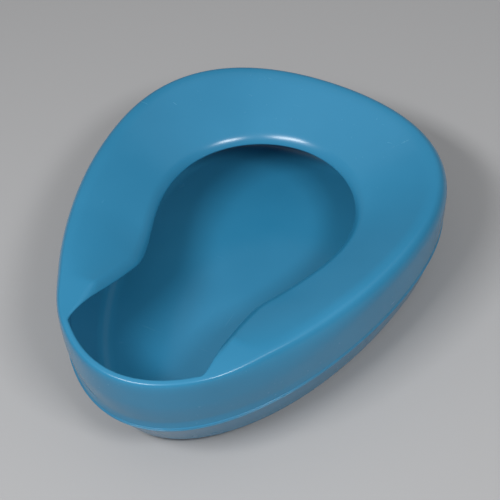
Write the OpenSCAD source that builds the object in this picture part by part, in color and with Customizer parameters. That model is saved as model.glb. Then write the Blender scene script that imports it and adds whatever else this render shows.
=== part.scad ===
// Bedpan: a moulded seat shell welded on a moulded base pan.
// Millimetres. +Z is up and the low, open front faces -Y.
// The origin is the middle of the footprint, on the surface that the pan rests on.

/* [Plan outline] */
// overall length, front to rear
length = 375; // [330:1:420]
// overall width at the widest place
width = 303; // [260:1:340]
// how far behind the middle the widest place is
widest_y = 59; // [20:1:90]
// roundness of the front end
front_pull = 88; // [50:1:120]
// fullness of the sides ahead of the widest place
side_pull_front = 101; // [60:1:140]
// fullness of the sides behind the widest place
side_pull_rear = 100; // [40:1:120]
// roundness of the rear end
rear_pull = 74; // [50:1:130]

/* [Heights] */
// height of the outer edge at the front
front_height = 114; // [80:1:125]
// height of the outer edge at the rear
rear_height = 97.5; // [70:0.5:125]
// height of the weld seam at the front
front_seam = 52.5; // [20:0.5:70]
// height of the weld seam at the rear
rear_seam = 63; // [30:1:80]

/* [Opening] */
// Y of the rear end of the opening
mouth_rear_y = 121; // [90:1:140]
// half-width of the opening at its widest
mouth_half_width = 83.5; // [60:0.5:95]
// Y where the opening is widest
mouth_widest_y = 38; // [20:1:60]
// half-width of the opening at the neck
neck_half_width = 55; // [40:1:70]
// Y of the neck
neck_y = -67; // [-90:1:-40]
// share of the outline, from the front, that the low front rim takes
rim_share = 0.136; // [0.1:0.002:0.2]

/* [Seat] */
// width of the rolled front rim
rim_width = 7.2; // [6.8:0.2:10]
// how far the front rim's crest is inside the outline
rim_crest = 4.3; // [4:0.1:4.6]
// how far the seat's crest is inside the outline
seat_crest = 9; // [5:0.5:16]
// depth of the rounded shoulder along the front
front_shoulder = 28; // [10:1:34]
// depth of the rounded shoulder round the sides and the rear
side_shoulder = 13; // [6:1:24]
// fall from the outer edge to the lip at the neck
neck_drop = 27.5; // [10:0.5:40]
// fall from the outer edge to the lip at the rear
rear_drop = 31; // [10:0.5:45]
// width of the turned-down lip
lip_width = 8.5; // [5:0.5:14]
// fall across the turned-down lip
lip_drop = 7.5; // [3:0.5:12]
// slope of the lip at its free edge, degrees
lip_end_slope = 60; // [40:1:75]

/* [Walls and base] */
// thickness of both mouldings
wall = 2.4; // [2:0.1:4]
// thickness of the seat shell round the front rim
rim_wall = 1.9; // [1.6:0.1:2]
// how far the wall leans in from the shoulder to the seam, at the front
front_lean = 4.8; // [0:0.2:8]
// pull on the lean half-way along; below zero, it keeps the sides upright
side_lean = -3; // [-5:0.2:8]
// the same lean at the rear
rear_lean = 6; // [0:0.2:14]
// how far the foot of the wall flares out again at the seam, at the front
flare_out = 2.6; // [0:0.2:5]
// height of the flare
flare_height = 10; // [5:1:16]
// how far the floor's corner is inside the outline at the front
front_base_inset = 27; // [10:1:40]
// how far the floor's corner is inside the outline at the sides
side_base_inset = 21.5; // [6:0.5:30]
// how far the floor's corner is inside the outline at the rear
rear_base_inset = 11; // [6:0.5:30]
// radius of the rounded edge round the floor
base_radius = 18; // [8:1:30]

/* [Seam] */
// how far the weld bead stands out from the wall
bead_out = 0.5; // [0.4:0.1:2]
// height of the bead on the seat shell
bead_height = 1.6; // [1.5:0.1:4]
// thickness of the base pan's flange under the bead
flange_height = 1.2; // [0.8:0.1:2]
// how far the base pan's wall sets back under the bead
step_in = 1.8; // [0:0.1:3]
// height of the base pan's tongue inside the seat shell
tongue_height = 6; // [4:0.5:10]
// thickness of the tongue at its foot
tongue_wall = 1.6; // [1.2:0.1:2.5]
// thickness of the tongue at its top
tongue_tip = 1; // [0.6:0.1:1.5]
// clearance between the tongue and the seat shell
tongue_gap = 0.4; // [0.3:0.05:0.8]
// gap between the two mouldings at the weld
weld_gap = 0.15; // [0.1:0.05:0.3]

/* [Look] */
// the blue of the plastic
plastic = [0.24, 0.53, 0.69];

/* [Hidden] */
front_y = -length / 2;
rear_y = length / 2;
half_width = width / 2;

// ---------- small helpers ----------
function lerp(a, b, t) = a + (b - a) * t;
function ease(t) = let (c = max(0, min(1, t))) c * c * (3 - 2 * c);
function unit(v) = v / norm(v);
function bez(p, t) = let (s = 1 - t)
    s * s * s * p[0] + 3 * s * s * t * p[1] + 3 * s * t * t * p[2] + t * t * t * p[3];
function bez_heading(p, t) = let (s = 1 - t)
    unit(s * s * (p[1] - p[0]) + 2 * s * t * (p[2] - p[1]) + t * t * (p[3] - p[2]));
// how far along the length a place is: 0 at the front, 1 at the rear
function along(y) = (y - front_y) / length;

// ---------- plan curves, right-hand half, front to rear ----------
// Each curve is a list of Bezier spans; t runs from 0 to the number of spans.
function on_curve(spans, t) = let (k = min(len(spans) - 1, floor(t))) bez(spans[k], t - k);
function heading(spans, t) = let (k = min(len(spans) - 1, floor(t))) bez_heading(spans[k], t - k);
// pairs of [distance travelled, t]
span_steps = 48;
function travel_table(spans) = [
    for (i = 0, d = 0; i <= span_steps * len(spans);
         i = i + 1,
         d = d + norm(on_curve(spans, i / span_steps) - on_curve(spans, (i - 1) / span_steps)))
        [d, i / span_steps]];
function travel_end(table) = table[len(table) - 1][0];

outline = [
    [[0, front_y], [front_pull, front_y],
     [half_width, widest_y - side_pull_front], [half_width, widest_y]],
    [[half_width, widest_y], [half_width, widest_y + side_pull_rear],
     [rear_pull, rear_y], [0, rear_y]]];
outline_table = travel_table(outline);
function outline_t(share) = lookup(share * travel_end(outline_table), outline_table);
function edge_at(share) = on_curve(outline, outline_t(share));
function inward_at(share) = let (h = heading(outline, outline_t(share))) [-h.y, h.x];
function rim_at(share) = edge_at(share) + rim_width * inward_at(share);

// the opening: round its front corner, past the neck and round the rear
corner = rim_at(rim_share);
corner_heading = heading(outline, outline_t(rim_share));
corner_pull = 7;
neck_pull_front = 42;
neck_pull_rear = 24;
mouth_pull_front = 44;
mouth_pull_rear = 50;
mouth_rear_pull = 42;
mouth = [
    [corner, corner + corner_pull * corner_heading,
     [neck_half_width, neck_y - neck_pull_front], [neck_half_width, neck_y]],
    [[neck_half_width, neck_y], [neck_half_width, neck_y + neck_pull_rear],
     [mouth_half_width, mouth_widest_y - mouth_pull_front], [mouth_half_width, mouth_widest_y]],
    [[mouth_half_width, mouth_widest_y], [mouth_half_width, mouth_widest_y + mouth_pull_rear],
     [mouth_rear_pull, mouth_rear_y], [0, mouth_rear_y]]];
mouth_table = travel_table(mouth);
// the lines across the seat swing forward a little, to meet both curves squarely
swing = 0.08;
function lip_at(share) = share <= rim_share
    ? rim_at(share)
    : let (f = (share - rim_share) / (1 - rim_share), g = f + swing * pow(sin(180 * f), 2))
      on_curve(mouth, lookup(g * travel_end(mouth_table), mouth_table));

// ---------- heights and insets along the length ----------
function edge_height(y) = lerp(front_height, rear_height, along(y));
function seam_height(y) = lerp(front_seam, rear_seam, along(y));
function lean(y) = let (a = along(y))
    pow(1 - a, 2) * front_lean + 2 * a * (1 - a) * side_lean + a * a * rear_lean;
// the front end of the floor reaches this far back, and its rear end starts here
nose_end = 0.3;
tail_start = 0.55;
function floor_inset(y) =
    side_base_inset
    + (front_base_inset - side_base_inset) * pow(max(0, 1 - along(y) / nose_end), 2)
    + (rear_base_inset - side_base_inset) * ease((along(y) - tail_start) / (1 - tail_start));
// the lip falls away from the rim's corner and reaches its full drop here
full_drop_y = -29;
function lip_fall(y) = lerp(neck_drop, rear_drop, (y - neck_y) / (mouth_rear_y - neck_y))
    * ease((y - corner.y) / (full_drop_y - corner.y));

// ---------- stations round the half outline, closest at the rim's corner ----------
front_steps = 8;
corner_steps = 8;
seat_steps = 34;
corner_share = 0.055;
shares = concat(
    [for (i = [0:front_steps - 1]) rim_share * i / front_steps],
    [for (i = [0:corner_steps - 1]) rim_share + corner_share * i / corner_steps],
    [for (i = [0:seat_steps]) lerp(rim_share + corner_share, 1, i / seat_steps)]);
stations = [0:len(shares) - 1];
edges = [for (s = shares) edge_at(s)];
inwards = [for (s = shares) inward_at(s)];
lips = [for (s = shares) lip_at(s)];
// how much of a seat each station has: 0 on the front rim, 1 where the seat is full
full_seat_width = 48;
seatness = [for (i = stations)
    ease((norm(lips[i] - edges[i]) - rim_width) / (full_seat_width - rim_width))];
// how far each station has turned from rim to seat
crest_share = 0.12;
turned = [for (s = shares) ease((s - rim_share) / crest_share)];
// the deep front shoulder eases to the shallower side one between these shares
shoulder_start = 0.22;
shoulder_end = 0.5;
shoulders = [for (s = shares) lerp(front_shoulder, side_shoulder,
                                   ease((s - shoulder_start) / (shoulder_end - shoulder_start)))];

// ---------- cross-section of the seat shell's outer face ----------
// A point is [how far in from the outline, height].
wall_steps = 4;
roll_steps = 8;
run_steps = 7;
lip_steps = 7;
// fullness of the shoulder's curve up the wall and across the crest, on the rim and the seat
rim_fullness = [0.8, 1];
seat_fullness = [0.55, 0.55];
// distance over which the level crest turns down to the seat's even slope
crest_run = 10;
rim_lip_width = 1.7;
rim_lip_drop = 0.9;
rim_end_slope = 50;
curve_power = 1.5;
// the flare dies away this far along the length
flare_end = 0.45;
function wall_inset(i, z) =
    let (y = edges[i].y, foot = seam_height(y), top = edge_height(y) - shoulders[i],
         down = max(0, (top - z) / (top - foot)),
         flare = min(1, max(0, 1 - (z - foot) / flare_height)))
    lean(y) * pow(down, curve_power)
        - flare_out * (1 - ease(along(y) / flare_end)) * pow(flare, curve_power);
function foot_inset(i) = wall_inset(i, seam_height(edges[i].y));
function wall_points(i) = let (y = edges[i].y, foot = seam_height(y),
                               top = edge_height(y) - shoulders[i])
    [for (k = [0:wall_steps - 1])
        let (z = lerp(foot, top, pow(k / wall_steps, 1.5))) [wall_inset(i, z), z]];
function seat_points(i) =
    let (f = seatness[i], y = lips[i].y, top = edge_height(edges[i].y),
         deep = shoulders[i],
         crest = lerp(rim_crest, seat_crest, turned[i]),
         fullness = lerp(rim_fullness, seat_fullness, turned[i]),
         roll = [[0, top - deep], [0, top - deep * (1 - fullness[0])],
                 [crest * (1 - fullness[1]), top], [crest, top]],
         end = [norm(lips[i] - edges[i]), lerp(top - rim_lip_drop, edge_height(y) - lip_fall(y), f)],
         start = end + [-lerp(rim_lip_width, lip_width, f), lerp(rim_lip_drop, lip_drop, f)],
         run = start[0] - crest,
         bend = min(crest_run, 0.8 * run),
         slope = max(0, top - start[1]) / (run - bend / 2),
         lip_start = [start[0], top - slope * (run - bend / 2)],
         reach = norm(end - lip_start) / 3,
         turn = [lip_start, lip_start + reach * unit([1, -slope]),
                 end - reach * unit([1, -tan(lerp(rim_end_slope, lip_end_slope, f))]), end])
    concat(
        [for (k = [0:roll_steps - 1]) bez(roll, k / roll_steps)],
        [for (k = [0:run_steps - 1]) let (d = run * pow(k / run_steps, lerp(1, 1.5, f)))
            [crest + d, top - slope * (d < bend ? d * d / (2 * bend) : d - bend / 2)]],
        [for (k = [0:lip_steps]) bez(turn, k / lip_steps)]);

// ---------- rings of points: rings[ring][station] ----------
function place(i, dir, point) =
    [edges[i].x + dir.x * point[0], edges[i].y + dir.y * point[0], point[1]];
function mirrored(ring) =
    concat(ring, [for (i = [len(ring) - 2:-1:1]) [-ring[i].x, ring[i].y, ring[i].z]]);
function rings_of(columns) =
    [for (j = [0:len(columns[0]) - 1]) mirrored([for (c = columns) c[j]])];
// the outward direction of a sheet of rings at one of its points
function outward(rings, j, i) =
    let (n = len(rings[0]), last = len(rings) - 1,
         round = rings[j][(i + 1) % n] - rings[j][(i + n - 1) % n],
         up = rings[min(last, j + 1)][i] - rings[max(0, j - 1)][i])
    unit(cross(round, up));
function inner_ring(rings, walls, j) =
    [for (i = [0:len(rings[0]) - 1]) rings[j][i] - walls[i] * outward(rings, j, i)];
// rings round the free edge, from the outer face to the inner one
edge_steps = 5;
function edge_ring(rings, walls, k) =
    let (last = len(rings) - 1, a = 180 * k / edge_steps)
    [for (i = [0:len(rings[0]) - 1])
        let (n = outward(rings, last, i), d = rings[last][i] - rings[last - 1][i])
        rings[last][i] + walls[i] / 2 * ((cos(a) - 1) * n + sin(a) * unit(d - (d * n) * n))];
// triangles between neighbouring rings; closed joins the last ring to the first
function skin(rings, closed) =
    let (n = len(rings[0]), m = len(rings))
    [for (j = [0:m - (closed ? 1 : 2)], i = [0:n - 1])
        let (a = j * n + i, b = j * n + (i + 1) % n,
             d = ((j + 1) % m) * n + i, c = ((j + 1) % m) * n + (i + 1) % n)
        each [[a, c, b], [a, d, c]]];
function flat(rings) = [for (r = rings) each r];

// ---------- seat shell ----------
sheet = rings_of([for (i = stations)
    let (across = unit(lips[i] - edges[i]))
    concat([for (p = wall_points(i)) place(i, inwards[i], p)],
           [for (p = seat_points(i)) place(i, across, p)])]);
// the shell is thinner round the rim, where it turns tightly
seat_walls = let (half = [for (f = seatness) lerp(rim_wall, wall, f)])
    concat(half, [for (i = [len(half) - 2:-1:1]) half[i]]);
// the bead at the seam, as [how far it stands out, height above the seam]
bead_corner = 0.5;
bead_profile = [[bead_out - bead_corner, 0], [bead_out, bead_corner],
                [bead_out, bead_height / 2], [bead_out / 4, bead_height]];
bead_rings = rings_of([for (i = stations) let (y = edges[i].y)
    [for (p = bead_profile) let (z = seam_height(y) + p[1])
        place(i, inwards[i], [wall_inset(i, z) - p[0], z])]]);
foot_ring = rings_of([for (i = stations) let (y = edges[i].y)
    [place(i, inwards[i], [foot_inset(i) + wall, seam_height(y)])]]);
seat_rings = concat(
    bead_rings,
    [for (j = [1:len(sheet) - 1]) sheet[j]],
    [for (k = [1:edge_steps - 1]) edge_ring(sheet, seat_walls, k)],
    [for (j = [len(sheet) - 1:-1:1]) inner_ring(sheet, seat_walls, j)],
    foot_ring);

module seat_shell() {
    color(plastic) polyhedron(flat(seat_rings), skin(seat_rings, true));
}

// ---------- base pan ----------
fillet_steps = 8;
base_wall_steps = 4;
flat_margin = 8;
function base_points(i) =
    let (y = edges[i].y, inset = floor_inset(y),
         top = [foot_inset(i) + step_in, seam_height(y) - flange_height - step_in],
         tilt = atan2(inset - top[0], top[1]),
         centre = [inset + base_radius * tan((90 - tilt) / 2), base_radius],
         wall_start = centre - base_radius * [cos(tilt), sin(tilt)])
    concat(
        [[centre[0] + flat_margin, 0]],
        [for (k = [0:fillet_steps - 1]) let (a = (90 - tilt) * k / fillet_steps)
            centre - base_radius * [sin(a), cos(a)]],
        [for (k = [0:base_wall_steps]) lerp(wall_start, top, k / base_wall_steps)]);
base_sheet = rings_of([for (i = stations)
    [for (p = base_points(i)) place(i, inwards[i], p)]]);
// the flange under the bead, then the tongue that stands inside the seat shell
flange_corner = 0.2;
tongue_steps = 3;
function flange_points(i) =
    let (foot = seam_height(edges[i].y) - weld_gap, tip = foot_inset(i) - bead_out,
         face = wall + tongue_gap)
    concat(
        [[tip + flange_corner, foot - flange_height],
         [tip, foot - flange_height / 2],
         [tip + flange_corner, foot],
         [foot_inset(i) + face, foot]],
        [for (k = [1:tongue_steps]) let (z = foot + tongue_height * k / tongue_steps)
            [wall_inset(i, z) + face, z]],
        [for (k = [tongue_steps:-1:1])
            let (f = k / tongue_steps, z = foot + tongue_height * f)
            [wall_inset(i, z) + face + lerp(tongue_wall, tongue_tip, f), z]]);
flange_rings = rings_of([for (i = stations)
    [for (p = flange_points(i)) place(i, inwards[i], p)]]);
base_walls = [for (i = [0:len(base_sheet[0]) - 1]) wall];
base_rings = concat(
    base_sheet,
    flange_rings,
    [for (j = [len(base_sheet) - 1:-1:0]) inner_ring(base_sheet, base_walls, j)]);

module base_pan() {
    n = len(base_rings[0]);
    last = len(base_rings) - 1;
    underside = [for (i = [0:n - 1]) i];
    floor_face = [for (i = [n - 1:-1:0]) last * n + i];
    color(plastic)
        polyhedron(flat(base_rings), concat(skin(base_rings, false), [underside, floor_face]));
}

seat_shell();
base_pan();
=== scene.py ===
"""The looks of a moulded plastic bedpan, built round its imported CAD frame.

Metres, in the frame's axes: +Z up, and the low, open front faces -Y.
The two mouldings are rebuilt finely from the same curves as the CAD solids, and
stand for them.
"""
import math

import bpy
import numpy as np
from mathutils import Matrix, Vector


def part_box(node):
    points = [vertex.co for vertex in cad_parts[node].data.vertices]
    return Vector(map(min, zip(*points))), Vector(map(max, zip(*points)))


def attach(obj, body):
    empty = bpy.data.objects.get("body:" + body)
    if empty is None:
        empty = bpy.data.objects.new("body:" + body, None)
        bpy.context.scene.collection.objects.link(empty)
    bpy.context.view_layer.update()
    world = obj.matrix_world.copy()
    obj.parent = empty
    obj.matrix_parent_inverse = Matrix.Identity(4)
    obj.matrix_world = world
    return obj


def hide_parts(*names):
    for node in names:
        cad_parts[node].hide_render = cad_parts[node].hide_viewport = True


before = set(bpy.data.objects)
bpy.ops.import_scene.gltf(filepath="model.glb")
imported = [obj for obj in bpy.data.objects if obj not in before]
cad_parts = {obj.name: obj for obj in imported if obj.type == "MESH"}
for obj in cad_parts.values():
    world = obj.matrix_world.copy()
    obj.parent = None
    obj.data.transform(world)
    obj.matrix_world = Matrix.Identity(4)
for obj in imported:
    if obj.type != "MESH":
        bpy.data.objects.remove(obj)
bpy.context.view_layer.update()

MM = 0.001

# ---------- driving sizes, from the frame where it gives them ----------
seat_low, seat_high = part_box("seat_shell")
LENGTH = seat_high.y - seat_low.y
WIDTH = seat_high.x - seat_low.x
FRONT_HEIGHT = seat_high.z
REAR_HEIGHT = 97.5 * MM
FRONT_SEAM = 52.5 * MM
REAR_SEAM = 63 * MM
FRONT_Y, REAR_Y = -LENGTH / 2, LENGTH / 2
HALF_WIDTH = WIDTH / 2

# Outline in plan. A pull is the length of a Bezier handle.
WIDEST_Y = 59 * MM
FRONT_PULL = 88 * MM
SIDE_PULL_FRONT = 101 * MM
SIDE_PULL_REAR = 100 * MM
REAR_PULL = 74 * MM

# Opening in plan: a keyhole whose corners meet the front rim at RIM_SHARE of the outline's
# length. SWING moves the stations on round it, so that they face those of the outline.
MOUTH_REAR_Y = 121 * MM
MOUTH_HALF_WIDTH = 83.5 * MM
MOUTH_WIDEST_Y = 38 * MM
NECK_HALF_WIDTH = 55 * MM
NECK_Y = -67 * MM
RIM_SHARE = 0.136
CORNER_PULL = 7 * MM
NECK_PULL_FRONT = 42 * MM
NECK_PULL_REAR = 24 * MM
MOUTH_PULL_FRONT = 44 * MM
MOUTH_PULL_REAR = 50 * MM
MOUTH_REAR_PULL = 42 * MM
SWING = 0.08

# Section of the rim and the seat: shoulder, crest, slope and turned-down lip. The crest widens
# over CREST_SHARE of the outline behind the corner. The bend at the crest is CREST_RUN wide, or
# MOST_BEND of the seat's own run where that is less.
RIM_WIDTH = 7.2 * MM
RIM_CREST = 4.3 * MM
SEAT_CREST = 9 * MM
CREST_SHARE = 0.12
FRONT_SHOULDER = 28 * MM
SIDE_SHOULDER = 13 * MM
SHOULDER_START, SHOULDER_END = 0.22, 0.5
RIM_CREST_PULL, SEAT_CREST_PULL = 1, 0.55
RIM_SHOULDER_PULL, SEAT_SHOULDER_PULL = 0.8, 0.55
NECK_DROP = 27.5 * MM
REAR_DROP = 31 * MM
FULL_DROP_Y = -29 * MM
CREST_RUN = 10 * MM
MOST_BEND = 0.8
LIP_WIDTH = 8.5 * MM
LIP_DROP = 7.5 * MM
LIP_END_SLOPE = 60
RIM_LIP_WIDTH = 1.7 * MM
RIM_LIP_DROP = 0.9 * MM
RIM_END_SLOPE = 50
FULL_SEAT_WIDTH = 48 * MM

# Walls and base: how far they lean in, and the flare above the seam. The nose and the tail are
# where the base's inset changes, as shares of the length.
WALL = 2.4 * MM
RIM_WALL = 1.9 * MM
FRONT_LEAN = 4.8 * MM
SIDE_LEAN = -3 * MM
REAR_LEAN = 6 * MM
CURVE_POWER = 1.5
FRONT_BASE_INSET = 27 * MM
SIDE_BASE_INSET = 21.5 * MM
REAR_BASE_INSET = 11 * MM
NOSE_END, TAIL_START = 0.3, 0.55
BASE_RADIUS = 18 * MM
FLARE_OUT = 2.6 * MM
FLARE_HEIGHT = 10 * MM
FLARE_END = 0.45

# Weld seam: the bead on the seat shell, and the flange and tongue on the base pan. The bead's
# underside starts at BEAD_UNDERSIDE of its reach, and TONGUE_FOOT keeps the tongue's foot sharp.
BEAD_OUT = 0.5 * MM
BEAD_HEIGHT = 1.6 * MM
BEAD_UNDERSIDE = 0.4
FLANGE_HEIGHT = 1.2 * MM
FLANGE_CORNER = 0.2 * MM
STEP_IN = 1.8 * MM
TONGUE_HEIGHT = 6 * MM
TONGUE_WALL = 1.6 * MM
TONGUE_TIP = 1 * MM
TONGUE_GAP = 0.4 * MM
TONGUE_FOOT = 0.1 * MM
WELD_GAP = 0.15 * MM

# How finely each stretch is divided. WALL_CROWDING above 1 sets the rings closer together near
# the seam. The tongue has rings at these shares of its height, up one face and down the other.
CORNER_SHARE = 0.055
FRONT_STEPS, CORNER_STEPS, SEAT_STEPS = 40, 30, 124
WALL_STEPS, ROLL_STEPS, RUN_STEPS, LIP_STEPS, EDGE_STEPS = 24, 26, 28, 20, 10
WALL_CROWDING = 1.3
BEAD_STEPS = 8
FILLET_STEPS, BASE_WALL_STEPS = 26, 12
FLAT_MARGIN = 8 * MM
TONGUE_UP = (0.02, 0.25, 0.5, 0.75, 0.98, 1)
TONGUE_DOWN = (1, 0.98, 0.9, 0.6, 0.3)


# ---------- curves ----------
def lerp(a, b, t):
    return a + (b - a) * t


def ease(t):
    t = np.clip(t, 0, 1)
    return t * t * (3 - 2 * t)


def bezier(points, t):
    """Points along one cubic Bezier; each control point may be one for every station."""
    a, b, c, d = (np.asarray(p, float) for p in points)
    t = np.asarray(t, float)[..., None]
    s = 1 - t
    return s**3 * a + 3 * s * s * t * b + 3 * s * t * t * c + t**3 * d


def bezier_slope(points, t):
    """The direction in which the Bezier heads; its length doesn't matter here."""
    a, b, c, d = (np.asarray(p, float) for p in points)
    t = np.asarray(t, float)[..., None]
    s = 1 - t
    return s * s * (b - a) + 2 * s * t * (c - b) + t * t * (d - c)


def unit(v):
    return v / np.linalg.norm(v, axis=-1, keepdims=True)


class PlanCurve:
    """Bezier spans in plan, walked by the share of their length."""

    samples = 400

    def __init__(self, spans):
        self.spans = spans
        self.t = np.linspace(0, len(spans), self.samples * len(spans) + 1)
        steps = np.linalg.norm(np.diff(self.over(self.t, bezier), axis=0), axis=1)
        self.travelled = np.concatenate([[0], np.cumsum(steps)])

    def over(self, t, rule):
        k = np.minimum(len(self.spans) - 1, np.floor(t).astype(int))
        out = np.zeros((len(t), 2))
        for i, span in enumerate(self.spans):
            out[k == i] = rule(span, t[k == i] - i)
        return out

    def t_at(self, share):
        return np.interp(np.asarray(share) * self.travelled[-1], self.travelled, self.t)

    def at(self, share):
        return self.over(self.t_at(share), bezier)

    def heading(self, share):
        return unit(self.over(self.t_at(share), bezier_slope))


outline = PlanCurve([
    [(0, FRONT_Y), (FRONT_PULL, FRONT_Y),
     (HALF_WIDTH, WIDEST_Y - SIDE_PULL_FRONT), (HALF_WIDTH, WIDEST_Y)],
    [(HALF_WIDTH, WIDEST_Y), (HALF_WIDTH, WIDEST_Y + SIDE_PULL_REAR),
     (REAR_PULL, REAR_Y), (0, REAR_Y)],
])


def inward_at(share):
    heading = outline.heading(share)
    return np.stack([-heading[:, 1], heading[:, 0]], axis=1)


def rim_at(share):
    return outline.at(share) + RIM_WIDTH * inward_at(share)


corner = rim_at([RIM_SHARE])[0]
corner_heading = outline.heading([RIM_SHARE])[0]
mouth = PlanCurve([
    [corner, corner + CORNER_PULL * corner_heading,
     (NECK_HALF_WIDTH, NECK_Y - NECK_PULL_FRONT), (NECK_HALF_WIDTH, NECK_Y)],
    [(NECK_HALF_WIDTH, NECK_Y), (NECK_HALF_WIDTH, NECK_Y + NECK_PULL_REAR),
     (MOUTH_HALF_WIDTH, MOUTH_WIDEST_Y - MOUTH_PULL_FRONT),
     (MOUTH_HALF_WIDTH, MOUTH_WIDEST_Y)],
    [(MOUTH_HALF_WIDTH, MOUTH_WIDEST_Y), (MOUTH_HALF_WIDTH, MOUTH_WIDEST_Y + MOUTH_PULL_REAR),
     (MOUTH_REAR_PULL, MOUTH_REAR_Y), (0, MOUTH_REAR_Y)],
])


def lip_at(share):
    """The edge of the opening: along the front rim, then round the keyhole."""
    share = np.asarray(share)
    f = np.clip((share - RIM_SHARE) / (1 - RIM_SHARE), 0, 1)
    seat_lip = mouth.at(f + SWING * np.sin(math.pi * f) ** 2)
    return np.where((share <= RIM_SHARE)[:, None], rim_at(share), seat_lip)


def along(y):
    """Share of the length behind the front: 0 there, and 1 at the rear."""
    return (y - FRONT_Y) / LENGTH


def edge_height(y):
    return lerp(FRONT_HEIGHT, REAR_HEIGHT, along(y))


def seam_height(y):
    return lerp(FRONT_SEAM, REAR_SEAM, along(y))


def lean(y):
    """How far the wall leans in from the shoulder to the seam."""
    a = along(y)
    return (1 - a) ** 2 * FRONT_LEAN + 2 * a * (1 - a) * SIDE_LEAN + a * a * REAR_LEAN


def base_inset(y):
    """How far the foot of the base stands in from the outline."""
    nose = np.maximum(0, 1 - along(y) / NOSE_END) ** 2
    tail = ease((along(y) - TAIL_START) / (1 - TAIL_START))
    return (SIDE_BASE_INSET + (FRONT_BASE_INSET - SIDE_BASE_INSET) * nose
            + (REAR_BASE_INSET - SIDE_BASE_INSET) * tail)


def lip_fall(y):
    """How far the edge of the opening lies below the outer edge."""
    full = lerp(NECK_DROP, REAR_DROP, (y - NECK_Y) / (MOUTH_REAR_Y - NECK_Y))
    return full * ease((y - corner[1]) / (FULL_DROP_Y - corner[1]))


# ---------- stations round the right-hand half outline ----------
shares = np.concatenate([
    np.linspace(0, RIM_SHARE, FRONT_STEPS, endpoint=False),
    np.linspace(RIM_SHARE, RIM_SHARE + CORNER_SHARE, CORNER_STEPS, endpoint=False),
    np.linspace(RIM_SHARE + CORNER_SHARE, 1, SEAT_STEPS + 1),
])
edges = outline.at(shares)
inwards = inward_at(shares)
lips = lip_at(shares)
seat_widths = np.linalg.norm(lips - edges, axis=1)
across = unit(lips - edges)
edge_y, lip_y = edges[:, 1], lips[:, 1]
foot_heights, top_heights = seam_height(edge_y), edge_height(edge_y)

# seatness is 0 on the front rim and 1 where the seat has its full section.
seatness = ease((seat_widths - RIM_WIDTH) / (FULL_SEAT_WIDTH - RIM_WIDTH))
turned = ease((shares - RIM_SHARE) / CREST_SHARE)
crests = lerp(RIM_CREST, SEAT_CREST, turned)
crest_pulls = crests * lerp(RIM_CREST_PULL, SEAT_CREST_PULL, turned)
shoulders = lerp(FRONT_SHOULDER, SIDE_SHOULDER,
                 ease((shares - SHOULDER_START) / (SHOULDER_END - SHOULDER_START)))
shoulder_pulls = shoulders * lerp(RIM_SHOULDER_PULL, SEAT_SHOULDER_PULL, turned)


def place(direction, inset, height):
    """One ring of the half outline: inset along direction, at height."""
    plan = edges + direction * np.broadcast_to(inset, edge_y.shape)[:, None]
    return np.column_stack([plan, np.broadcast_to(height, edge_y.shape)])


def mirrored(ring):
    """The whole ring, with the left-hand half as the mirror image of the right."""
    return np.concatenate([ring, ring[-2:0:-1] * (-1, 1, 1)])


half_walls = lerp(RIM_WALL, WALL, seatness)[:, None]
seat_walls = np.concatenate([half_walls, half_walls[-2:0:-1]])


def outward(rings):
    """Outward directions of a sheet, shape (ring, station, 3)."""
    around = np.roll(rings, -1, axis=1) - np.roll(rings, 1, axis=1)
    up = np.gradient(rings, axis=0)
    return unit(np.cross(around, up))


# ---------- the seat shell ----------
def wall_inset(z):
    """Inset of the wall's outer face: out to the shoulder, then leaning in to the seam's flare."""
    shoulder = top_heights - shoulders
    down = np.clip((shoulder - z) / (shoulder - foot_heights), 0, 1)
    flare = np.clip(1 - (z - foot_heights) / FLARE_HEIGHT, 0, 1)
    out = FLARE_OUT * (1 - ease(along(edge_y) / FLARE_END))
    return lean(edge_y) * down ** CURVE_POWER - out * flare ** CURVE_POWER


def curve_rings(control, ts):
    """Rings at ts along Beziers of inset and height, one Bezier for each station."""
    rings = []
    for t in ts:
        points = bezier(control, np.full(len(shares), t))
        rings.append(place(across, points[:, 0], points[:, 1]))
    return rings


def wall_rings():
    """Rings up the outer face of the wall, closest together near the seam."""
    rings = []
    for k in range(WALL_STEPS):
        z = lerp(foot_heights, top_heights - shoulders, (k / WALL_STEPS) ** WALL_CROWDING)
        rings.append(place(inwards, wall_inset(z), z))
    return rings


def roll_rings():
    """Rings over the shoulder, from the top of the wall to the crest."""
    nothing = np.zeros_like(top_heights)
    roll = [np.column_stack([nothing, top_heights - shoulders]),
            np.column_stack([nothing, top_heights - shoulders + shoulder_pulls]),
            np.column_stack([crests - crest_pulls, top_heights]),
            np.column_stack([crests, top_heights])]
    return curve_rings(roll, [k / ROLL_STEPS for k in range(ROLL_STEPS)])


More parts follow.
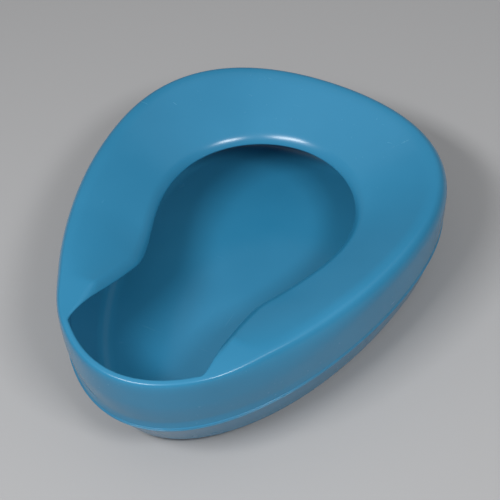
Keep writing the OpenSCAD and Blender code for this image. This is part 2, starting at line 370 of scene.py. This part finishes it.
def seat_rings():
    """Rings across the seat, which bends at the crest and then runs straight, and down the lip."""
    lip_widths = lerp(RIM_LIP_WIDTH, LIP_WIDTH, seatness)
    lip_drops = lerp(RIM_LIP_DROP, LIP_DROP, seatness)
    end = np.column_stack([
        seat_widths,
        lerp(top_heights - RIM_LIP_DROP, edge_height(lip_y) - lip_fall(lip_y), seatness),
    ])
    start = end + np.column_stack([-lip_widths, lip_drops])
    run = start[:, 0] - crests
    bend = np.minimum(CREST_RUN, MOST_BEND * run)
    slope = np.maximum(top_heights - start[:, 1], 0) / (run - bend / 2)
    start[:, 1] = top_heights - slope * (run - bend / 2)
    rings = []
    for k in range(RUN_STEPS):
        d = run * k / RUN_STEPS
        fall = np.where(d < bend, slope * d * d / (2 * bend), slope * (d - bend / 2))
        rings.append(place(across, crests + d, top_heights - fall))
    end_slope = np.tan(np.radians(lerp(RIM_END_SLOPE, LIP_END_SLOPE, seatness)))
    down_start = unit(np.column_stack([np.ones_like(slope), -slope]))
    down_end = unit(np.column_stack([np.ones_like(slope), -end_slope]))
    reach = np.linalg.norm(end - start, axis=1)[:, None] / 3
    turn = [start, start + reach * down_start, end - reach * down_end, end]
    return rings + curve_rings(turn, [k / LIP_STEPS for k in range(LIP_STEPS + 1)])


def seat_sheet():
    """Rings of the outer face, from the seam up the wall and across the seat to the lip."""
    return np.array([mirrored(r) for r in [*wall_rings(), *roll_rings(), *seat_rings()]])


def rounded_edge(sheet, normals):
    """Rings round the sheet's free edge, from the outer face to the inner one."""
    n = normals[-1]
    d = sheet[-1] - sheet[-2]
    forward = unit(d - (d * n).sum(1, keepdims=True) * n)
    angles = [math.pi * k / EDGE_STEPS for k in range(1, EDGE_STEPS)]
    return [sheet[-1] + seat_walls / 2 * ((math.cos(a) - 1) * n + math.sin(a) * forward)
            for a in angles]


def bead_rings():
    """The bead at the foot of the wall: a flat underside, then a rounded face up to the wall."""
    rings = []
    for k in range(BEAD_STEPS + 1):
        a = math.pi * k / BEAD_STEPS
        least = BEAD_UNDERSIDE if a < math.pi / 2 else 0
        out = BEAD_OUT * lerp(least, 1, math.sin(a))
        z = foot_heights + BEAD_HEIGHT / 2 * (1 - math.cos(a))
        rings.append(mirrored(place(inwards, wall_inset(z) - out, z)))
    return rings


# ---------- the base pan ----------
def base_sheet():
    """Rings of the outer face, from the flat underside round the fillet and up the wall."""
    top_inset = wall_inset(foot_heights) + STEP_IN
    top_height = foot_heights - FLANGE_HEIGHT - STEP_IN
    tilt = np.arctan2(base_inset(edge_y) - top_inset, top_height)
    centre = base_inset(edge_y) + BASE_RADIUS * np.tan((math.pi / 2 - tilt) / 2)
    rings = [place(inwards, centre + FLAT_MARGIN, 0)]
    for k in range(FILLET_STEPS):
        a = (math.pi / 2 - tilt) * k / FILLET_STEPS
        rings.append(place(inwards, centre - BASE_RADIUS * np.sin(a),
                           BASE_RADIUS * (1 - np.cos(a))))
    low_inset = centre - BASE_RADIUS * np.cos(tilt)
    low_height = BASE_RADIUS * (1 - np.sin(tilt))
    for k in range(BASE_WALL_STEPS + 1):
        f = k / BASE_WALL_STEPS
        rings.append(place(inwards, lerp(low_inset, top_inset, f),
                           lerp(low_height, top_height, f)))
    return np.array([mirrored(r) for r in rings])


def flange_rings():
    """The flange under the bead, and the tongue that stands inside the seat shell."""
    foot = foot_heights - WELD_GAP
    foot_inset = wall_inset(foot_heights)
    tip = foot_inset - BEAD_OUT
    face = WALL + TONGUE_GAP
    steps = []
    for down, back in ((1, FLANGE_CORNER), (0.75, 0), (0.25, 0), (0, FLANGE_CORNER)):
        steps.append((tip + back, foot - down * FLANGE_HEIGHT))
    steps.append((foot_inset + face - TONGUE_FOOT, foot))
    steps.append((foot_inset + face, foot))
    for f in TONGUE_UP:
        z = foot + f * TONGUE_HEIGHT
        steps.append((wall_inset(z) + face, z))
    for f in TONGUE_DOWN:
        z = foot + f * TONGUE_HEIGHT
        steps.append((wall_inset(z) + face + lerp(TONGUE_WALL, TONGUE_TIP, f), z))
    return [mirrored(place(inwards, inset, z)) for inset, z in steps]


# ---------- meshes ----------
def skinned(name, rings, closed):
    """A mesh over rings of points. A closed one joins its last ring to its first;
    an open one has a face across each end."""
    count, size = len(rings), len(rings[0])
    faces = []
    for j in range(count if closed else count - 1):
        for i in range(size):
            a, b = j * size + i, j * size + (i + 1) % size
            d, c = (j + 1) % count * size + i, (j + 1) % count * size + (i + 1) % size
            faces.append((a, b, c, d))
    if not closed:
        faces.append(tuple(range(size - 1, -1, -1)))
        faces.append(tuple((count - 1) * size + i for i in range(size)))
    mesh = bpy.data.meshes.new(name)
    mesh.from_pydata(np.concatenate(rings).tolist(), [], faces)
    mesh.shade_smooth()
    mesh.validate()
    piece = bpy.data.objects.new(name, mesh)
    bpy.context.scene.collection.objects.link(piece)
    return piece


seat_outer = seat_sheet()
seat_normals = outward(seat_outer)
seat_inner = seat_outer - seat_walls * seat_normals
inner_foot = mirrored(place(inwards, wall_inset(foot_heights) + WALL, foot_heights))
seat = skinned("seat_moulding",
               [*bead_rings(), *seat_outer[1:], *rounded_edge(seat_outer, seat_normals),
                *seat_inner[:0:-1], inner_foot], True)

base_outer = base_sheet()
base_inner = base_outer - WALL * outward(base_outer)
base = skinned("base_moulding", [*base_outer, *flange_rings(), *base_inner[::-1]], False)


# ---------- materials ----------
DEEP_BLUE = (0.023, 0.200, 0.362, 1)
PALE_BLUE = (0.032, 0.230, 0.408, 1)
# The worn blue is also the colour of the painted glint on the seat's opening edge.
WORN_AND_GLINT_BLUE = (0.075, 0.30, 0.46, 1)
GLOSS, DULL = 0.21, 0.45

# How far each kind of wear turns the colour to WORN_AND_GLINT_BLUE, and the gloss to DULL.
SCRATCH_PALE, RUBBED_PALE = 0.35, 0.5
SCUFF_DULL, SCRATCH_DULL, RUBBED_DULL, CLOUD_DULL = 0.35, 0.8, 0.6, 0.14

# Scrapes, and on the seat one painted glint: strength, x, y, z, direction in degrees, half-length and
# half-width in mm. The third seat entry is the painted glint, a small painted highlight where the
# opening's edge ends its roll; the others are scrapes.
SEAT_SCRAPES_AND_GLINT = [(0.45, 80, 139.4, 92.3, 38, 5.6, 0.5), (1.0, 87.3, 145.7, 95.8, 42, 4.4, 0.7),
                (0.8, 86, 12, 82.5, 55, 2.6, 0.6)]
BASE_SCRAPES = [(0.6, -68, -91.5, 2.4, 17, 3.2, 0.6)]
SCRAPE_AND_GLINT_DEPTH = 6 * MM
SCRAPE_AND_GLINT_CORE = 0.4

# Sockets of a Mix node that mixes colours.
MIX_FIRST, MIX_SECOND, MIX_RESULT = 6, 7, 2


class Weave:
    """Adds shader nodes to a material and links them up."""

    def __init__(self, material):
        self.tree = material.node_tree
        self.place = self.add("ShaderNodeTexCoord").outputs["Object"]

    def add(self, kind, **values):
        """A node of this kind; each value goes to the input of that name."""
        node = self.tree.nodes.new(kind)
        for name, value in values.items():
            self.put(node.inputs[name.replace("_", " ")], value)
        return node

    def put(self, socket, value):
        """Links the socket to another socket, or sets it to a plain value."""
        if isinstance(value, bpy.types.NodeSocket):
            self.tree.links.new(value, socket)
        else:
            socket.default_value = value

    def noise(self, scale, detail, stretch=None, turn=(0, 0, 0)):
        """Noise from 0 to 1 over the object, drawn out into streaks if stretch is given."""
        place = self.place
        if stretch:
            mapping = self.add("ShaderNodeMapping", Vector=place, Scale=stretch, Rotation=turn)
            place = mapping.outputs["Vector"]
        return self.add("ShaderNodeTexNoise", Vector=place, Scale=scale, Detail=detail).outputs["Fac"]

    def ramp(self, value, low, high, start=0.0, end=1.0):
        """Goes from start to end while value goes from low to high, and stays there."""
        node = self.add("ShaderNodeMapRange", Value=value, From_Min=low, From_Max=high,
                        To_Min=start, To_Max=end)
        return node.outputs["Result"]

    def combine(self, operation, a, b):
        node = self.add("ShaderNodeMath")
        node.operation = operation
        self.put(node.inputs[0], a)
        self.put(node.inputs[1], b)
        return node.outputs[0]

    def times(self, a, b):
        return self.combine("MULTIPLY", a, b)

    def most(self, a, b):
        return self.combine("MAXIMUM", a, b)

    def scrape_and_glint_mask(self, x, y, z, turn, half_length, half_width):
        """A mask that is 1 along a short spot on the surface, used for scrapes and for a painted
        glint; sizes in mm.
        """
        mapping = self.add("ShaderNodeMapping", Vector=self.place)
        mapping.vector_type = "TEXTURE"
        mapping.inputs["Location"].default_value = (x * MM, y * MM, z * MM)
        mapping.inputs["Rotation"].default_value = (0, 0, math.radians(turn))
        mapping.inputs["Scale"].default_value = (half_length * MM, half_width * MM, SCRAPE_AND_GLINT_DEPTH)
        size = self.add("ShaderNodeVectorMath")
        size.operation = "LENGTH"
        self.put(size.inputs[0], mapping.outputs["Vector"])
        return self.ramp(size.outputs["Value"], low=1, high=SCRAPE_AND_GLINT_CORE)

    def blend(self, factor, a, b):
        """Colour a where factor is 0, and colour b where it is 1."""
        node = self.add("ShaderNodeMix")
        node.data_type = "RGBA"
        self.put(node.inputs["Factor"], factor)
        self.put(node.inputs[MIX_FIRST], a)
        self.put(node.inputs[MIX_SECOND], b)
        return node.outputs[MIX_RESULT]


def scuffs(weave):
    """Cloudy dull patches, in a few places only."""
    patches = weave.ramp(weave.noise(scale=38, detail=5), low=0.56, high=0.72)
    where = weave.ramp(weave.noise(scale=5, detail=2), low=0.45, high=0.6)
    return weave.times(patches, where)


def scratches(weave):
    """Hair-fine lines in two directions, in a few places only."""
    along_x = weave.noise(scale=1, detail=2, stretch=(7, 420, 420), turn=(0.2, 0.1, 0.5))
    along_y = weave.noise(scale=1, detail=2, stretch=(380, 9, 380), turn=(0.1, 0.3, 0.35))
    lines = weave.most(weave.ramp(along_x, low=0.73, high=0.76),
                       weave.ramp(along_y, low=0.735, high=0.765))
    return weave.times(lines, weave.ramp(weave.noise(scale=11, detail=2), low=0.5, high=0.62))


def rubbed_edges(weave):
    """Wear where the surface is sharply convex, broken up by noise."""
    point = weave.add("ShaderNodeNewGeometry").outputs["Pointiness"]
    edge = weave.ramp(point, low=0.53, high=0.62)
    return weave.times(edge, weave.ramp(weave.noise(scale=60, detail=4), low=0.35, high=0.65))


def plastic(name, scrapes_and_glints):
    """Glossy moulded plastic: cloudy colour, a faint grain, fine scratches, rubbed edges, and the
    listed scrapes and painted glint.
    """
    material = bpy.data.materials.new(name)
    material.use_nodes = True
    shader = material.node_tree.nodes["Principled BSDF"]
    weave = Weave(material)
    cloud = weave.noise(scale=7, detail=3)
    grain = weave.noise(scale=900, detail=2)
    sink = weave.noise(scale=16, detail=1)
    scuff, scratch, rubbed = scuffs(weave), scratches(weave), rubbed_edges(weave)

    colour = weave.blend(weave.ramp(cloud, low=0.35, high=0.65), DEEP_BLUE, PALE_BLUE)
    marks_and_glint = weave.most(weave.times(scratch, SCRATCH_PALE), weave.times(rubbed, RUBBED_PALE))
    # Each listed spot lightens the colour: scrapes, and on the seat one painted glint that stands for
    # a highlight.
    for strength, *size in scrapes_and_glints:
        broken = weave.ramp(weave.noise(scale=700, detail=1), low=0.3, high=0.6)
        broken = weave.times(broken, strength)
        marks_and_glint = weave.most(marks_and_glint, weave.times(weave.scrape_and_glint_mask(*size), broken))
    weave.put(shader.inputs["Base Color"], weave.blend(marks_and_glint, colour, WORN_AND_GLINT_BLUE))

    patchy = weave.most(weave.times(scuff, SCUFF_DULL), weave.times(scratch, SCRATCH_DULL))
    worn = weave.most(weave.times(rubbed, RUBBED_DULL),
                      weave.ramp(cloud, low=0.3, high=0.7, start=0, end=CLOUD_DULL))
    dull = weave.most(patchy, worn)
    weave.put(shader.inputs["Roughness"], weave.ramp(dull, low=0, high=1, start=GLOSS, end=DULL))

    fine = weave.add("ShaderNodeBump", Height=grain, Strength=0.05, Distance=0.15 * MM)
    broad = weave.add("ShaderNodeBump", Height=sink, Strength=0.25, Distance=0.6 * MM,
                      Normal=fine.outputs["Normal"])
    cut = weave.add("ShaderNodeBump", Height=scratch, Strength=0.1, Distance=-0.08 * MM,
                    Normal=broad.outputs["Normal"])
    weave.put(shader.inputs["Normal"], cut.outputs["Normal"])
    return material


for piece, node, slot, scrapes_and_glints in ((seat, "seat_shell", "seat_plastic", SEAT_SCRAPES_AND_GLINT),
                                   (base, "base_pan", "base_plastic", BASE_SCRAPES)):
    piece.data.materials.append(plastic(node + "_look", scrapes_and_glints))
    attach(piece, "root")
    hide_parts(node)

# ---------- stage ----------
FLOOR_HALF = 4.0
FLOOR_DROP = 0.2 * MM
FLOOR_GREY = (0.40, 0.40, 0.405, 1)
FLOOR_ROUGHNESS = 0.8

floor_mesh = bpy.data.meshes.new("floor")
floor_mesh.from_pydata([(-FLOOR_HALF, -FLOOR_HALF, 0), (FLOOR_HALF, -FLOOR_HALF, 0),
                        (FLOOR_HALF, FLOOR_HALF, 0), (-FLOOR_HALF, FLOOR_HALF, 0)],
                       [], [(0, 1, 2, 3)])
floor = bpy.data.objects.new("floor", floor_mesh)
floor.location.z = -FLOOR_DROP
bpy.context.scene.collection.objects.link(floor)
floor_look = bpy.data.materials.new("floor_look")
floor_look.use_nodes = True
floor_shader = floor_look.node_tree.nodes["Principled BSDF"]
floor_shader.inputs["Base Color"].default_value = FLOOR_GREY
floor_shader.inputs["Roughness"].default_value = FLOOR_ROUGHNESS
floor_mesh.materials.append(floor_look)


# ---------- camera and light ----------
AZIMUTH, ELEVATION, ROLL = 34.7, 49.9, -7.0
DISTANCE = 1.395
AIM = Vector((-0.7 * MM, 20.8 * MM, 40 * MM))
SENSOR = 36.0
LENS = 116.3

# Name, azimuth and elevation in degrees, distance, width, height and power in watts.
SOFTBOXES = [
    ("strip_left", -14, 55, 1.6, 0.70, 0.24, 15),
    ("strip_right", 64, 51, 1.6, 0.46, 0.24, 9.5),
    ("fill_top", 20, 82, 1.7, 3.2, 3.2, 9),
]
SKY_COLOUR = (0.97, 0.98, 1.0, 1)
SKY_STRENGTH = 0.18


def view_axes(azimuth, elevation, roll=0.0):
    """Right, up and back directions of a camera that looks at the object from there."""
    a, e, r = (math.radians(x) for x in (azimuth, elevation, roll))
    back = Vector((math.sin(a) * math.cos(e), -math.cos(a) * math.cos(e), math.sin(e)))
    right = Vector((math.cos(a), math.sin(a), 0))
    up = back.cross(right)
    return (right * math.cos(r) + up * math.sin(r), up * math.cos(r) - right * math.sin(r), back)


def looking(position, axes):
    """A placement at position with these right, up and back directions."""
    matrix = Matrix.Identity(4)
    for k, axis in enumerate(axes):
        matrix.col[k][:3] = axis
    matrix.col[3][:3] = position
    return matrix


def softbox(name, azimuth, elevation, distance, width, height, power):
    """A rectangular light that faces the object."""
    data = bpy.data.lights.new(name, "AREA")
    data.shape = "RECTANGLE"
    data.size, data.size_y = width, height
    data.energy = power
    lamp = bpy.data.objects.new(name, data)
    bpy.context.scene.collection.objects.link(lamp)
    axes = view_axes(azimuth, elevation)
    lamp.matrix_world = looking(AIM + axes[2] * distance, axes)


camera_data = bpy.data.cameras.new("camera")
camera_data.sensor_width = SENSOR
camera_data.lens = LENS
camera = bpy.data.objects.new("camera", camera_data)
bpy.context.scene.collection.objects.link(camera)
camera_axes = view_axes(AZIMUTH, ELEVATION, ROLL)
camera.matrix_world = looking(AIM + camera_axes[2] * DISTANCE, camera_axes)
bpy.context.scene.camera = camera

for light in SOFTBOXES:
    softbox(*light)
world = bpy.data.worlds.new("studio")
world.use_nodes = True
world.node_tree.nodes["Background"].inputs["Color"].default_value = SKY_COLOUR
world.node_tree.nodes["Background"].inputs["Strength"].default_value = SKY_STRENGTH
bpy.context.scene.world = world
bpy.context.scene.view_settings.view_transform = "Standard"
